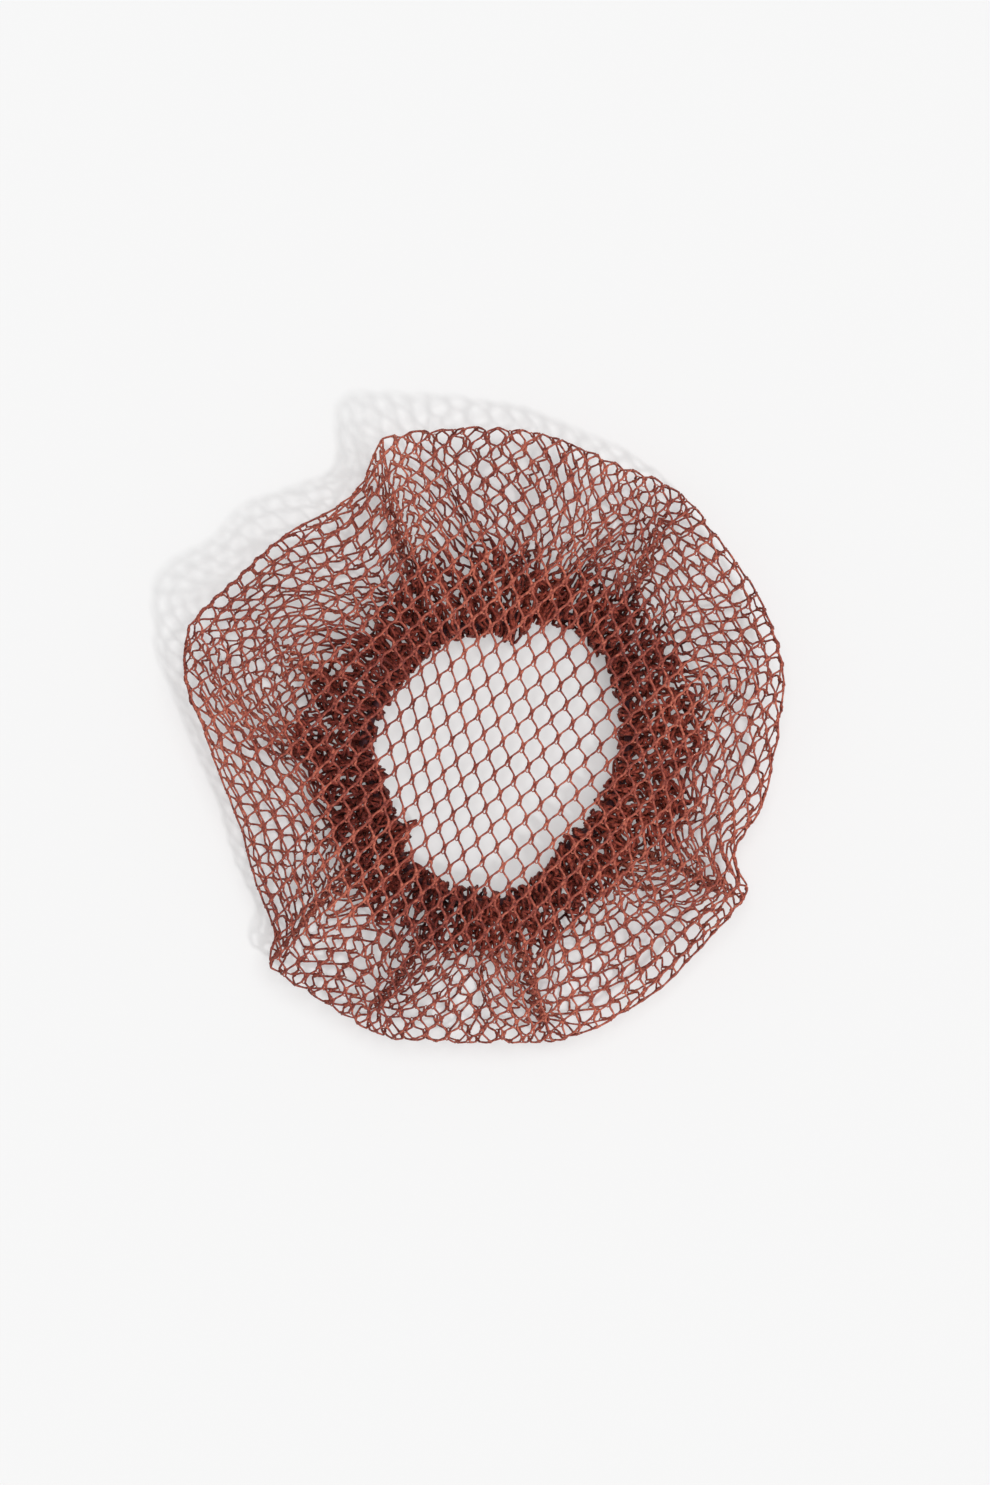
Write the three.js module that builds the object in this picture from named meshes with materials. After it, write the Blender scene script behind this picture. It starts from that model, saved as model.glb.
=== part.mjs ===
// Net bun cover, lying crown up with its gathered opening down on a flat surface.
// Millimetres, +Z up. Every angle is in degrees, counter-clockwise from +X, about the middle of the opening.
import * as THREE from 'three';

// Driving dimensions
const WALL = 1.4;                 // thickness of the net as a solid
const GAP = 0.35;                 // clearance between pieces that touch
const CROWN_MIDDLE = 14.0;        // height of the crown over the opening
const CROWN_SHOULDER = 16.4;      // height of the crown over the gathers
const SHOULDER_REACH = 40;        // where the crown starts down to the fold
const SIDE_LOW = 3.6;             // height of the underside between the gathers and the fold
const RIM = 2.4;                  // plain border between the gaps and the edge of a net
const STRUT = 2.2;                // net left between two gaps
const CROWN_PITCH = 14.2;         // spacing of the crown's gaps
const CROWN_ROWS = 6;             // rows of gaps to each side of the crown's middle
const CROWN_TURN = 17.0;          // angle of one row of the crown's gaps
const CROWN_REACH = 64.0;         // radius of the round net that is fitted to the fold
const SMALLEST_GAP = 0.28;        // share of a whole gap under which the net stays closed
const SIDE_GAPS = 24;             // gaps in each of the underside's two rows
const PLEATS = 48;                // gathers round the hem
const FACETS = 4 * PLEATS;        // steps round the hem, four to a gather
const CORD_RADIUS = 1.1;          // elastic
const CORD_IN = 1.85;             // the elastic's middle, outwards from the edge of the opening
const CORD_HEIGHT = 3.0;
const CORD_STEPS = 60;
const CORD_SIDES = 8;
const LIP = 3.2;                  // depth of the channel that holds the elastic, from the edge of the opening
const HEM_END_RISE = 4.9;         // middle of the hem's outer end
const HEM_END_PLEAT = 3.2;        // height of its waves above and below that

// The outer fold: how far out it lies and how high.
const foldRows = [
  { at: 0, reach: 58.3, height: 9.0 },
  { at: 10, reach: 60.8, height: 9.5 },
  { at: 20, reach: 63.7, height: 10.0 },
  { at: 32, reach: 64.6, height: 9.5 },
  { at: 44, reach: 65.7, height: 8.5 },
  { at: 57, reach: 68.0, height: 9.5 },
  { at: 68, reach: 66.9, height: 10.0 },
  { at: 86, reach: 69.5, height: 9.5 },
  { at: 98, reach: 70.1, height: 10.5 },
  { at: 110, reach: 70.6, height: 12.5 },
  { at: 116, reach: 65.0, height: 9.0 },
  { at: 124, reach: 63.1, height: 8.5 },
  { at: 134, reach: 65.5, height: 10.0 },
  { at: 145, reach: 67.2, height: 11.0 },
  { at: 157, reach: 70.5, height: 12.0 },
  { at: 166, reach: 68.5, height: 10.5 },
  { at: 174, reach: 63.0, height: 9.0 },
  { at: 184, reach: 59.0, height: 8.5 },
  { at: 196, reach: 56.6, height: 7.5 },
  { at: 208, reach: 58.0, height: 7.0 },
  { at: 218, reach: 60.2, height: 7.0 },
  { at: 223, reach: 64.9, height: 8.0 },
  { at: 234, reach: 63.7, height: 6.5 },
  { at: 247, reach: 64.0, height: 7.0 },
  { at: 258, reach: 61.7, height: 6.0 },
  { at: 270, reach: 60.4, height: 6.5 },
  { at: 282, reach: 61.4, height: 7.0 },
  { at: 300, reach: 60.2, height: 7.0 },
  { at: 318, reach: 58.7, height: 7.5 },
  { at: 331, reach: 59.3, height: 10.5 },
  { at: 338, reach: 53.9, height: 8.0 },
  { at: 348, reach: 56.6, height: 8.5 },
];

// The opening: the radius of its edge, and how far out the dense gathers run from there.
const mouthRows = [
  { at: 0, edge: 25.4, gathers: 16.0 },
  { at: 20, edge: 27.6, gathers: 14.5 },
  { at: 35, edge: 29.6, gathers: 11.5 },
  { at: 47, edge: 30.9, gathers: 11.5 },
  { at: 61, edge: 31.6, gathers: 8.5 },
  { at: 76, edge: 29.6, gathers: 9.5 },
  { at: 92, edge: 26.8, gathers: 14.5 },
  { at: 113, edge: 27.1, gathers: 13.6 },
  { at: 137, edge: 26.3, gathers: 10.5 },
  { at: 158, edge: 26.4, gathers: 15.0 },
  { at: 178, edge: 26.9, gathers: 14.5 },
  { at: 202, edge: 25.2, gathers: 10.5 },
  { at: 217, edge: 26.8, gathers: 12.3 },
  { at: 231, edge: 28.6, gathers: 12.0 },
  { at: 250, edge: 29.3, gathers: 10.7 },
  { at: 270, edge: 29.2, gathers: 11.1 },
  { at: 288, edge: 27.0, gathers: 11.0 },
  { at: 311, edge: 22.2, gathers: 11.5 },
  { at: 326, edge: 23.8, gathers: 11.1 },
  { at: 344, edge: 24.2, gathers: 15.5 },
];

// Creases of the crown. Each runs out from the gathers, where it lies at base, to the fold, where it lies at
// tip. Its depth is at the middle, and spread is half its width as an angle.
const creaseRows = [
  { base: 47, tip: 50, depth: 1.2, spread: 5 },
  { base: 65, tip: 57, depth: 2.0, spread: 5 },
  { base: 86, tip: 87, depth: 1.0, spread: 5 },
  { base: 120, tip: 118, depth: 2.6, spread: 5 },
  { base: 157, tip: 144, depth: 2.0, spread: 6 },
  { base: 179, tip: 163, depth: 2.0, spread: 6 },
  { base: 214, tip: 219, depth: 2.2, spread: 7 },
  { base: 252, tip: 243, depth: 1.8, spread: 5 },
  { base: 273, tip: 280, depth: 2.2, spread: 5 },
  { base: 326, tip: 336, depth: 2.6, spread: 6 },
];

// Section of the gathered hem, once round: out from the opening's edge by reach plus a share of the gathers,
// and up by rise. The gathers' waves add up to pleat above and below, or stand on it where foot is 1.
const hemRows = [
  { reach: 0.5, share: 0, rise: 0, pleat: 0, foot: 1 },
  { reach: LIP, share: 0, rise: 0, pleat: 0, foot: 1 },
  { reach: LIP, share: 0.5, rise: 0, pleat: 1.9, foot: 1 },
  { reach: LIP, share: 1, rise: 0, pleat: 3.2, foot: 1 },
  { reach: LIP, share: 1, rise: 6.6, pleat: 3.2, foot: 0 },
  { reach: LIP, share: 0.5, rise: 6.6, pleat: 2.6, foot: 0 },
  { reach: LIP, share: 0, rise: 6.5, pleat: 1.4, foot: 0 },
  { reach: 0.5, share: 0, rise: 5.9, pleat: 0.5, foot: 0 },
  { reach: 0.5, share: 0, rise: 4.5, pleat: 0, foot: 0 },
  { reach: LIP, share: 0, rise: 4.5, pleat: 0, foot: 0 },
  { reach: LIP, share: 0, rise: 1.5, pleat: 0, foot: 0 },
  { reach: 0.5, share: 0, rise: 1.5, pleat: 0, foot: 0 },
];

const netLook = { color: 0x9a4a3c, roughness: 0.85, metalness: 0 };
const hemLook = { color: 0x7c362d, roughness: 0.9, metalness: 0 };
const elasticLook = { color: 0x3c1420, roughness: 0.7, metalness: 0 };

const { clamp, degToRad, lerp, radToDeg, smoothstep } = THREE.MathUtils;
const angleOf = (point) => radToDeg(Math.atan2(point.y, point.x));

function polar(radius, angle) {
  const turn = degToRad(angle);
  return new THREE.Vector2(radius * Math.cos(turn), radius * Math.sin(turn));
}

// A smooth curve through one column of a table that closes on itself.
function around(rows, column) {
  const count = rows.length;
  const row = (index) => rows[(index + count) % count];
  const spanOf = (first, last) => (row(last).at - row(first).at + 360) % 360;
  const slope = (index) => {
    const change = row(index + 1)[column] - row(index - 1)[column];
    return change / spanOf(index - 1, index + 1);
  };
  return (angle) => {
    const place = ((angle % 360) + 360) % 360;
    let index = count - 1;
    while (rows[index].at > place) {
      index -= 1;
    }
    const span = spanOf(index, index + 1);
    const t = (place - row(index).at) / span;
    const rest = 1 - t;
    const start = row(index)[column] * rest * rest * (1 + 2 * t);
    const end = row(index + 1)[column] * t * t * (1 + 2 * rest);
    return start + end + span * t * rest * (slope(index) * rest - slope(index + 1) * t);
  };
}

const foldReach = around(foldRows, 'reach');
const foldHeight = around(foldRows, 'height');
const mouthEdge = around(mouthRows, 'edge');
const gatherWidth = around(mouthRows, 'gathers');
const hemEnd = (angle) => mouthEdge(angle) + gatherWidth(angle);

// The gathers' wave round the opening, with flat tops and flat feet, some of them deeper than others.
function gatherWave(angle) {
  return clamp(1.6 * Math.cos(degToRad(PLEATS * angle)), -1, 1);
}

function gatherDepth(angle) {
  return 1 + 0.15 * Math.sin(degToRad(7 * angle)) + 0.12 * Math.sin(degToRad(11 * angle));
}

function creaseDepth(radius, angle) {
  let depth = 0;
  for (const crease of creaseRows) {
    const axis = lerp(crease.base, crease.tip, smoothstep(radius, SHOULDER_REACH, CROWN_REACH));
    const away = ((angle - axis + 540) % 360 - 180) / crease.spread;
    depth += crease.depth * Math.exp(-away * away);
  }
  return depth;
}

// Middle height of the crown: low over the opening, high over the gathers, then rounded down to the fold.
function crownHeight(radius, angle) {
  const reach = foldReach(angle);
  const share = clamp((radius - SHOULDER_REACH) / (reach - SHOULDER_REACH), 0, 1);
  const top = lerp(CROWN_MIDDLE, CROWN_SHOULDER, smoothstep(radius, 12, SHOULDER_REACH));
  const edge = foldHeight(angle) + (WALL + GAP) / 2;
  const crease = creaseDepth(radius, angle) * smoothstep(radius, 32, 50);
  return lerp(edge, top - 2 * share * share - crease, Math.sqrt(1 - share ** 3));
}

// Middle height of the underside: pleated at the gathers, low between, then rounded up to the fold.
function sideHeight(radius, angle) {
  const start = hemEnd(angle) + GAP;
  const share = clamp((radius - start) / (foldReach(angle) - start), 0, 1);
  const edge = foldHeight(angle) - (WALL + GAP) / 2;
  const low = lerp(HEM_END_RISE, SIDE_LOW, smoothstep(share, 0, 0.5));
  const pleat = HEM_END_PLEAT * gatherDepth(angle) * (1 - share) ** 3 * gatherWave(angle);
  return lerp(edge, low + pleat, Math.sqrt(1 - share ** 3));
}

// A flat net is cut out first, then each of its points is raised to the net's height.
function raisedNet(shape, height) {
  const geometry = new THREE.ExtrudeGeometry(shape, { depth: WALL, bevelEnabled: false });
  const points = geometry.attributes.position;
  for (let index = 0; index < points.count; index += 1) {
    const flat = new THREE.Vector2(points.getX(index), points.getY(index));
    const middle = height(flat.length(), angleOf(flat));
    points.setZ(index, middle + points.getZ(index) - WALL / 2);
  }
  return geometry;
}

function outline(radius, angles) {
  return angles.map((angle) => polar(radius(angle), angle));
}

function anglesRound(steps, shift) {
  return Array.from({ length: steps }, (_, step) => (360 * (step + shift)) / steps);
}

// One six-sided gap of the crown. The round net is stretched to the fold towards its edge, and a corner
// that would cross the border is drawn in to it.
function crownGap(middle) {
  const across = (CROWN_PITCH - STRUT) / Math.sqrt(3);
  const corners = [];
  for (let side = 0; side < 6; side += 1) {
    const corner = polar(across, CROWN_TURN + 60 * side + 30).add(middle);
    const angle = angleOf(corner);
    const stretch = lerp(1, foldReach(angle) / CROWN_REACH, smoothstep(corner.length(), 24, CROWN_REACH));
    corners.push(polar(Math.min(corner.length() * stretch, foldReach(angle) - RIM), angle));
  }
  return corners;
}

// The crown's gaps stand in rows, and those left too small by the border stay closed.
function crownGaps() {
  const across = polar(CROWN_PITCH, CROWN_TURN);
  const along = polar(CROWN_PITCH, CROWN_TURN + 60);
  const whole = (Math.sqrt(3) / 2) * (CROWN_PITCH - STRUT) ** 2;
  const gaps = [];
  for (let row = -CROWN_ROWS; row <= CROWN_ROWS; row += 1) {
    for (let place = -CROWN_ROWS; place <= CROWN_ROWS; place += 1) {
      const middle = across.clone().multiplyScalar(place).addScaledVector(along, row);
      const corners = crownGap(middle);
      if (Math.abs(THREE.ShapeUtils.area(corners)) > SMALLEST_GAP * whole) {
        gaps.push(new THREE.Path(corners));
      }
    }
  }
  return gaps;
}

// The underside's gaps: two rows round the gathers, the outer row set half a step on.
function sideGaps() {
  const step = 360 / SIDE_GAPS;
  const half = 0.4 * step;
  const narrow = 0.25 * step;
  const inner = (angle) => hemEnd(angle) + GAP + RIM;
  const outer = (angle) => foldReach(angle) - RIM;
  const between = (share) => (angle) => lerp(inner(angle), outer(angle), share);
  const gapRows = [
    { from: between(0), widest: between(0.24), to: between(0.48), shift: 0 },
    { from: between(0.55), widest: between(0.78), to: between(1), shift: 0.5 },
  ];
  const gaps = [];
  for (const row of gapRows) {
    for (const angle of anglesRound(SIDE_GAPS, row.shift)) {
      const corners = [
        ...outline(row.widest, [angle - half]),
        ...outline(row.from, [angle - narrow, angle + narrow]),
        ...outline(row.widest, [angle + half]),
        ...outline(row.to, [angle + narrow, angle - narrow]),
      ];
      gaps.push(new THREE.Path(corners));
    }
  }
  return gaps;
}

function crownNet() {
  const shape = new THREE.Shape(outline(foldReach, anglesRound(90, 0)));
  shape.holes = crownGaps();
  return raisedNet(shape, crownHeight);
}

function sideNet() {
  const outside = outline((angle) => foldReach(angle) - GAP, anglesRound(90, 0));
  const inside = outline((angle) => hemEnd(angle) + GAP, anglesRound(FACETS, 0.5));
  const shape = new THREE.Shape(outside);
  shape.holes = [new THREE.Path(inside), ...sideGaps()];
  return raisedNet(shape, sideHeight);
}

// A plain ring of a closed section, each of whose points is then put where place says.
function placedRing(sectionCount, steps, place) {
  const section = [];
  for (let index = 0; index <= sectionCount; index += 1) {
    const turn = (2 * Math.PI * index) / sectionCount;
    section.push(new THREE.Vector2(2 + Math.cos(turn), Math.sin(turn)));
  }
  const geometry = new THREE.LatheGeometry(section, steps);
  const points = geometry.attributes.position;
  for (let index = 0; index < points.count; index += 1) {
    const onSection = index % (sectionCount + 1) % sectionCount;
    const step = Math.floor(index / (sectionCount + 1)) % steps;
    const { radius, angle, height } = place(onSection, step);
    const flat = polar(radius, angle);
    points.setXYZ(index, flat.x, flat.y, height);
  }
  return geometry;
}

function gatheredHem() {
  return placedRing(hemRows.length, FACETS, (onSection, step) => {
    const row = hemRows[onSection];
    const angle = (360 * (step + 0.5)) / FACETS;
    const out = row.reach + row.share * (gatherWidth(angle) - LIP);
    const wave = row.pleat * gatherDepth(angle) * (gatherWave(angle) + row.foot);
    return { radius: mouthEdge(angle) + out, angle, height: row.rise + wave };
  });
}

function elasticCord() {
  return placedRing(CORD_SIDES, CORD_STEPS, (onSection, step) => {
    const turn = (2 * Math.PI * (onSection + 0.5)) / CORD_SIDES;
    const angle = (360 * step) / CORD_STEPS;
    const out = CORD_IN + CORD_RADIUS * Math.cos(turn);
    return { radius: mouthEdge(angle) + out, angle, height: CORD_HEIGHT + CORD_RADIUS * Math.sin(turn) };
  });
}

function piece(name, geometry, look) {
  const mesh = new THREE.Mesh(geometry, new THREE.MeshStandardMaterial(look));
  mesh.name = name;
  return mesh;
}

const group = new THREE.Group();
group.add(piece('crown_net', crownNet(), netLook));
group.add(piece('side_net', sideNet(), netLook));
group.add(piece('gathered_hem', gatheredHem(), hemLook));
group.add(piece('elastic_cord', elasticCord(), elasticLook));

// The origin is under the middle of the whole, on the surface that it lies on.
const whole = new THREE.Box3().setFromObject(group);
const middle = whole.getCenter(new THREE.Vector3());
group.position.set(-middle.x, -middle.y, -whole.min.z);

export default group;
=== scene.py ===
# Net bun cover: the threads of its net, its gathers and its elastic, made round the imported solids.
# Lengths are in millimetres, other than in the mesh, the materials and the stage, where they are in metres.
# Angles are in degrees, counter-clockwise from +X, about the middle of the opening.
import math

import bpy
import numpy as np
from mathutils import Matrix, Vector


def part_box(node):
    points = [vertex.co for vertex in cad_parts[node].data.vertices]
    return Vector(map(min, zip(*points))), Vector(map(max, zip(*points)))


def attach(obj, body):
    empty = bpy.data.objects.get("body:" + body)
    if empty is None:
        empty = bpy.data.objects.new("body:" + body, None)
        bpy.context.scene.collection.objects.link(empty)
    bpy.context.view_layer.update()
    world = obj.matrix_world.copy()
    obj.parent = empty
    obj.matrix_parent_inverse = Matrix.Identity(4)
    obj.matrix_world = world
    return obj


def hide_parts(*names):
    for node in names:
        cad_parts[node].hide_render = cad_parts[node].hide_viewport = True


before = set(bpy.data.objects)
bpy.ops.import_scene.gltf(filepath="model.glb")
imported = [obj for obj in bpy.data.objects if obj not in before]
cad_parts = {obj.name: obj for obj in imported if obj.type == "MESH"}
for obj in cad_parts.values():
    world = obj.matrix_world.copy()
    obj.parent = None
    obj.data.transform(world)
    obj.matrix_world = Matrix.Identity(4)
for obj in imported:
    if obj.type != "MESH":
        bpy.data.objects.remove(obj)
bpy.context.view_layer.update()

# Flat net, before it is drawn together
NET_RADIUS = 157.0
NET_MIDDLE = np.array([-3.0, 4.5])
CELL_AT = np.array([2.99, 2.89])        # middle of the cell next to the middle of the opening
ACROSS = np.array([4.15, -1.25])        # from one cell to the next in a row
DOWN = np.array([-2.98, -2.89])         # from one row of cells to the next
CELL_COUNT = 70                         # cells to each side of the first one that are tried
WALL_WAY = np.array([-0.60, -1.93])     # along a double wall, from its upper end to its lower one
BOW = 0.0031                            # how far the crown's rows bow, for each square millimetre
BOW_WAY = np.array([0.967, -0.254])     # along the rows

# Threads
THREAD_STRETCHED = 0.40                 # diameter over the opening
THREAD_OVER = 0.50                      # over the gathers
THREAD_SLACK = 0.62                     # in the gathers, where nothing pulls it thin
THREAD = 0.43                           # everywhere else
# Painted shade: between these two heights a thread is painted darker the lower it lies, standing in for the
# shade low in the gathers.
PAINTED_SHADE_FROM = 1.5                         # height at and under which a thread is darkest
PAINTED_SHADE_TO = 5.5                           # height at and over which it has its own colour
THICKER = (22.0, 30.0)                  # radii between which the crown's threads get thicker
THINNER = (40.0, 48.0)                  # and between which they get thin again
UNEVEN_THREAD = 0.07                    # how much a thread's thickness varies
TAIL = 1.3                              # cut end of a thread at the net's rim
LEAVE = (0.85, 0.15)                    # a single thread's start: shares of its chord and of its wall's way
ARRIVE = (0.80, 0.25)                   # and its end, at the next wall
FINE_STEPS = 5                          # steps in a single thread
PLAIN_STEPS = 3                         # and in one of the hem

# Elastic
ELASTIC = 2.2                           # diameter
ELASTIC_IN = 1.85                       # its middle, outwards from the opening's edge
ELASTIC_HEIGHT = 3.0
ELASTIC_STEPS = 480
ELASTIC_CORNERS = 16
ELASTIC_STEP = 0.35                     # length of a step for its material
RIBS_ROUND = 8                          # ribs of its cover, counted round the elastic
RIBS_ALONG = 120                        # and along the whole ring
RIB_HEIGHTS = (0.05, 0.03)              # of the ribs that wind one way and the other, as shares of its radius

# The net as it lies
CROWN_MIDDLE = 13.6
CROWN_SHOULDER = 16.2
SHOULDER_START = 12.0                   # radius from which the crown rises
SHOULDER_REACH = 40.0                   # radius from which it falls to the fold
CROWN_REACH = 64.0                      # radius at which a crease has reached its tip
FOLD_ROUND = 4.0                        # radius of the fold's roundness
FOLD_TOP = 3.0                          # from the fold's height up to the end of the crown
FOLD_LOW = 4.0                          # and down to the start of the underside
GATHER_HEIGHT = 4.6                     # of the gathers where they start and end
GATHER_SWELL = 3.2                      # and how much higher they are between
SIDE_LOWEST = 0.8                       # lowest start of the underside
HEM_ROUND = 1.7                         # radius of the net's turn round the elastic
HEM_TAIL = 3.0                          # width of the hem under the elastic
CROWDING = 0.64                         # the higher, the more of the slack net lies away from the elastic
HEM_SLACK = 0.8                         # how much less of it lies round the elastic
SIDE_SLACK = 0.05                       # how much of it lies in the underside, outside the gathers
BUNCH_SLACK = 0.45                      # and how much more in the bunches
DRAW_START = 42.0                       # flat radius from which the bunches draw the net together
DRAW_FULL = 56.0                        # and from which they draw it fully
CROWN_DRAW = 0.25                       # share of the bunches' pull that the crown feels
RIDGES = 17                             # small ridges that run out from the gathers on the underside
RIDGE_DRAW = 0.55                       # how much of the net they draw in, from 0 to 1
RIDGE_FALL = 0.7                        # how much weaker they are in the gathers
CORNER_SPREAD = 1.5                     # width of a knot at the fold's corners, as an angle
CRUMPLE = 2.2                           # height of the gathers' waves on the way out
CRUMPLE_STEP = 9.0                      # flat net in one of them
HEM_FLAT = 0.85                         # how much lower the pleats are in the hem
SIDE_JITTER = 0.10                      # how far a point of the underside lies from its place
GATHERS_JITTER = 0.6                    # and one of the gathers
ANY_STRAY = 0.8                         # how far any loop of the hem may stray into the opening
STRAY_LOTS = (0.5, 0.8)                 # lots between which a loop begins to stray further
FOLD_WIDTH = 3.0                        # flat net that the fold holds, to each side
KNOTS_IN = 0.35                         # how far inside the fold's reach a point with the lowest lot stays
KNOTS_OUT = 1.5                         # and how much further out one with the highest lot may lie
GATHERS_TOP = 12.6                      # highest that a thread of the underside may lie
CROWN_GAP = 1.2                         # from the crown down to the underside's highest threads
BELOW_FROM = 4.0                        # flat net past the crown's end that has to stay under the crown
FLOOR_GAP = 0.42                        # lowest middle of a thread
EDGE_GAP = 0.1                          # from the opening's edge to the first threads that don't stray

# Where forms of the net begin or end: the two distances in flat net, or shares of a way, between which each
# one fades.
SIDE_BEGINS = (-1.0, 8.0)               # past the crown's end
SLACK_BEGINS = (0.0, 8.0)               # past the crown's end
GATHERS_BEGIN = (-5.0, 2.0)             # past the gathers' outer edge, along the net's way
BUNCH_STOPS = (-0.2, 0.2)               # share of the way that a bunch still reaches on
BUNCHES_END = (2.0, 14.0)               # inwards of the gathers' outer edge
RIDGES_END = (-4.0, 6.0)                # inwards of the gathers' outer edge
GATHERS_END = (-0.05, 0.25)             # share of the way from the gathers to the fold
HEM_BEGINS = (9.0, 4.0)                 # from the net's rim
STRAYS_BEGIN = (14.0, 9.0)              # from the net's rim
CREASES_BEGIN = (34.0, 52.0)            # from the middle of the opening
CREASES_END = (2.0, 10.0)               # past the fold's reach
BOW_ENDS = (22.0, 42.0)                 # from the middle of the opening
FIRM_ENDS = (32.0, 46.0)                # from the middle of the opening
CROWN_FIRM_ENDS = (44.0, 60.0)          # from the middle of the opening

# The net's way, worked out in every whole direction, and the points in each of its sections
DIRECTIONS = np.arange(360)
CROWN_POINTS = 80
FOLD_POINTS = 41
SIDE_POINTS = 50
GATHERS_POINTS = 40
HEM_POINTS = 21
TAIL_POINTS = 10
PATH_STEPS = 301                        # points evenly spaced in flat net

# Settling. Pulls, push and hold are shares of a way that are taken in one step.
PULL = 0.5                              # of what a thread is stretched
SLACK_PULL = 0.10                       # of what it is slack
PUSH = 0.10                             # of what a cell is too narrow
SLACK_SHARE = 0.75                      # of its stretched length, that a slack thread draws itself in to
CELLS_AT_POINT = 3                      # cells that meet at a point and push it
OPEN_SHARE = 0.80                       # of its flat width, that a cell keeps
CLOSE_SHARE = 0.45                      # and how much less where the net is drawn together
HOLD = {                                # back to where the net was laid
    "anywhere": 0.003,
    "opening": 0.25,
    "crown": 0.02,
    "fold": 0.10,
    "side": 0.01,
    "gathers": 0.07,
    "hem": 0.12,
    "strays": 0.10,
}

# The computation
SEED = 7
RELAX_STEPS = 300
SIDE_ROUNDS = 2                         # in which points take on their neighbours' outward direction
UPWARDS = np.array([0, 0, 1e-6])        # the outward direction of a point that has no other
TINY = 1e-9                             # keeps a length from being nothing

# Stage, in metres
FLOOR_HALF = 3.0
CAMERA_AT = (0.00243, -0.00148, 1.01)
CAMERA_LENS = 114.9                     # millimetres, on a sensor 36 mm wide


def table(names, rows):
    """A short table, as one array for each named column."""
    return dict(zip(names.split(), np.array(rows, float).T))


# The outer fold: how far out it lies and how high.
FOLD = table("at reach height", [
    (0, 58.3, 9.0),
    (10, 60.8, 9.5),
    (20, 63.7, 10.0),
    (32, 64.6, 9.5),
    (44, 65.7, 8.5),
    (57, 68.0, 9.5),
    (68, 66.9, 10.0),
    (86, 69.5, 9.5),
    (98, 70.1, 10.5),
    (110, 70.6, 12.5),
    (116, 65.0, 9.0),
    (124, 63.1, 8.5),
    (134, 65.5, 10.0),
    (145, 67.2, 11.0),
    (157, 70.5, 12.0),
    (166, 68.5, 10.5),
    (174, 63.0, 9.0),
    (184, 59.0, 8.5),
    (196, 56.6, 7.5),
    (208, 58.0, 7.0),
    (218, 60.2, 7.0),
    (223, 64.9, 8.0),
    (234, 63.7, 6.5),
    (247, 64.0, 7.0),
    (258, 61.7, 6.0),
    (270, 60.4, 6.5),
    (282, 61.4, 7.0),
    (300, 60.2, 7.0),
    (318, 58.7, 7.5),
    (331, 59.3, 10.5),
    (338, 53.9, 8.0),
    (348, 56.6, 8.5),
])

# The fold's corners, and how far each one's knot stands out.
CORNERS = table("at sharp", [
    (110, 1.4),
    (157, 0.5),
    (222, 1.2),
    (331, 0.7),
])

# The opening: the radius of its edge, and how far out the dense gathers run from there.
MOUTH = table("at edge gathers", [
    (0, 25.4, 16.0),
    (20, 27.6, 14.5),
    (35, 29.6, 11.5),
    (47, 30.9, 11.5),
    (61, 31.6, 8.5),
    (76, 29.6, 9.5),
    (92, 26.8, 14.5),
    (113, 27.1, 13.6),
    (137, 26.3, 10.5),
    (158, 26.4, 15.0),
    (178, 26.9, 14.5),
    (202, 25.2, 10.5),
    (217, 26.8, 12.3),
    (231, 28.6, 12.0),
    (250, 29.3, 10.7),
    (270, 29.2, 11.1),
    (288, 27.0, 11.0),
    (311, 22.2, 11.5),
    (326, 23.8, 11.1),
    (344, 24.2, 15.5),
])

# Creases of the crown. Each runs out from the gathers, where it lies at base, to the fold, where it lies at
# tip. Its depth is at the middle, and spread is half its width as an angle.
CREASES = table("base tip depth spread", [
    (47, 50, 1.2, 5),
    (65, 57, 2.0, 5),
    (86, 87, 1.0, 5),
    (120, 118, 2.6, 5),
    (157, 144, 2.0, 6),
    (179, 163, 2.0, 6),
    (214, 219, 2.2, 7),
    (252, 243, 1.8, 5),
    (273, 280, 2.2, 5),
    (326, 336, 2.6, 6),
])

# Bunches of net that run out from the gathers in the same way: how much of the net each one draws in, half
# its width as an angle, and how far it runs as a share of the way to the fold.
BUNCHES = table("base tip draw spread reach", [
    (18, 19, 0.60, 10, 0.95),
    (45, 50, 0.75, 12, 0.60),
    (65, 57, 0.80, 12, 0.80),
    (86, 86, 0.75, 12, 0.35),
    (114, 110, 0.82, 13, 1.20),
    (129, 129, 0.60, 8, 0.50),
    (154, 144, 0.80, 13, 1.05),
    (178, 163, 0.80, 14, 1.15),
    (196, 196, 0.50, 10, 0.25),
    (213, 221, 0.80, 13, 1.05),
    (232, 234, 0.50, 8, 0.30),
    (251, 243, 0.78, 12, 0.90),
    (273, 280, 0.82, 12, 1.20),
    (296, 296, 0.50, 10, 0.25),
    (322, 331, 0.85, 17, 1.10),
    (345, 339, 0.70, 11, 0.50),
])

# Loops of the hem that stray into the opening: how far, and half the width as an angle.
STRAYS = table("at reach spread", [
    (84, 4.4, 6),
    (188, 1.6, 5),
    (216, 4.6, 6),
    (262, 1.5, 5),
    (335, 1.2, 8),
])

# Pleats of the underside: how many go round, their height as a share of what the slack net could have, and
# the highest that they may be. They rise and fall at shares of the way from the gathers to the fold.
PLEATS = table("count share highest rise_from rise_to fall_from fall_to", [
    (59, 0.90, 4.0, -9.0, -8.0, -0.1, 0.35),
    (22, 0.60, 2.4, -0.2, 0.2, 0.7, 1.1),
    (11, 0.22, 9.0, 0.2, 0.6, 8.0, 9.0),
])

# Waves round the circle: how many, how high, and turned by how much.
LUMPS = [(13, 1.2, 0), (23, 0.9, 40)]
UNEVEN_PLEATS = [(3, 2.2, 20), (5, 1.6, 100), (8, 1.1, 10)]
UNEVEN_CRUMPLES = [(9, 2.5, 0), (31, 1.5, 0)]

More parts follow.
